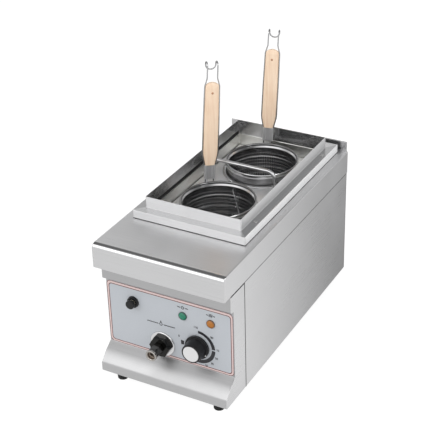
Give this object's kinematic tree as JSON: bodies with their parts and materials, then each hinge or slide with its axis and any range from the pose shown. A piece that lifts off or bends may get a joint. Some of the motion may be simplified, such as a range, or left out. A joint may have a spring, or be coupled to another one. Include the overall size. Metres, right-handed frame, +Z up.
{
  "type": "counter-top pasta cooker",
  "caption": "Stainless counter-top pasta cooker: a box cabinet with control panel and front drain, a heated water tank, and lift-out round baskets with tall wooden handles.",
  "frame": {"origin": "on the table, below the middle of the box over the whole cooker, from the end of the drain spout to the end of the cable gland", "axes": "+X to the right seen from the front, +Y from the control panel to the rear, +Z up"},
  "size_m": [0.3, 0.631, 0.6207],
  "materials": {
    "cabinet_steel": "brushed",
    "inner_steel": "satin",
    "bright_steel": "polished",
    "fixings": "satin",
    "brass": "satin",
    "black_plastic": "gloss",
    "dark_plastic": "matte",
    "ivory_plastic": "matte",
    "overlay": "satin",
    "disc": "satin",
    "rubber": "matte",
    "green_lens": "gloss",
    "orange_lens": "gloss",
    "wood": "varnished",
    "heater": "dark",
    "wire_insulation": "matte"
  },
  "bodies": {
    "cooker": {"worktop": "cabinet_steel", "backsplash": "cabinet_steel", "tank_surround": "cabinet_steel", "tank_collar": "cabinet_steel", "surround_screws": "fixings", "tank": "inner_steel", "plate_supports": "inner_steel", "front_fascia": "cabinet_steel", "left_cheek": "cabinet_steel", "right_cheek": "cabinet_steel", "control_overlay": "overlay", "left_side_panel": "cabinet_steel", "right_side_panel": "cabinet_steel", "rear_panel": "inner_steel", "rear_panel_screws": "fixings", "base_plate": "inner_steel", "feet": "rubber", "foot_screws": "fixings", "foot_nuts": "fixings", "thermostat": "ivory_plastic", "thermostat_probe": "brass", "limiter": "ivory_plastic", "reset_bezel": "black_plastic", "limiter_probe": "brass", "capillaries": "brass", "green_lamp": "green_lens", "orange_lamp": "orange_lens", "lamp_holders": "dark_plastic", "drain_flange": "bright_steel", "drain_nut": "bright_steel", "drain_valve": "brass", "drain_pipe": "inner_steel", "heater": "heater", "heater_nuts": "fixings", "heater_support": "inner_steel", "terminal_block": "ivory_plastic", "wiring": "wire_insulation", "cable_gland": "dark_plastic", "gland_locknut": "dark_plastic"},
    "knob": {"thermostat_knob": "black_plastic", "knob_disc": "disc", "thermostat_shaft": "fixings"},
    "reset_button": {"reset_button": "black_plastic"},
    "drain_spout": {"drain_spout": "bright_steel"},
    "basket_plate": {"basket_plate": "inner_steel", "lift_bar": "bright_steel"},
    "front_basket": {"front_basket_wall": "inner_steel", "front_basket_rim": "bright_steel", "front_basket_ferrule": "bright_steel", "front_basket_grip": "wood", "front_basket_wire": "bright_steel", "front_basket_pin": "brass"},
    "rear_basket": {"rear_basket_wall": "inner_steel", "rear_basket_rim": "bright_steel", "rear_basket_ferrule": "bright_steel", "rear_basket_grip": "wood", "rear_basket_wire": "bright_steel", "rear_basket_pin": "brass"}
  },
  "joints": [
    {"name": "knob_turn", "type": "hinge", "parent": "cooker", "child": "knob", "pos_m": [0.065, -0.2655, 0.13], "axis": [0, 1, 0], "range_deg": [-180, 75]},
    {"name": "reset_press", "type": "slide", "parent": "cooker", "child": "reset_button", "axis": [0, 1, 0], "range_m": [0, 0.003], "stiffness_N_per_m": 800, "springref_m": -0.001},
    {"name": "drain_turn", "type": "hinge", "parent": "cooker", "child": "drain_spout", "pos_m": [-0.018, -0.2655, 0.111], "axis": [0, -1, 0], "range_deg": [0, 90]},
    {"name": "plate_lift", "type": "slide", "parent": "cooker", "child": "basket_plate", "axis": [0, 0, 1], "range_m": [0, 0.12]},
    {"name": "front_basket_lift", "type": "slide", "parent": "basket_plate", "child": "front_basket", "axis": [0, 0, 1], "range_m": [0, 0.25]},
    {"name": "rear_basket_lift", "type": "slide", "parent": "basket_plate", "child": "rear_basket", "axis": [0, 0, 1], "range_m": [0, 0.25]}
  ]
}
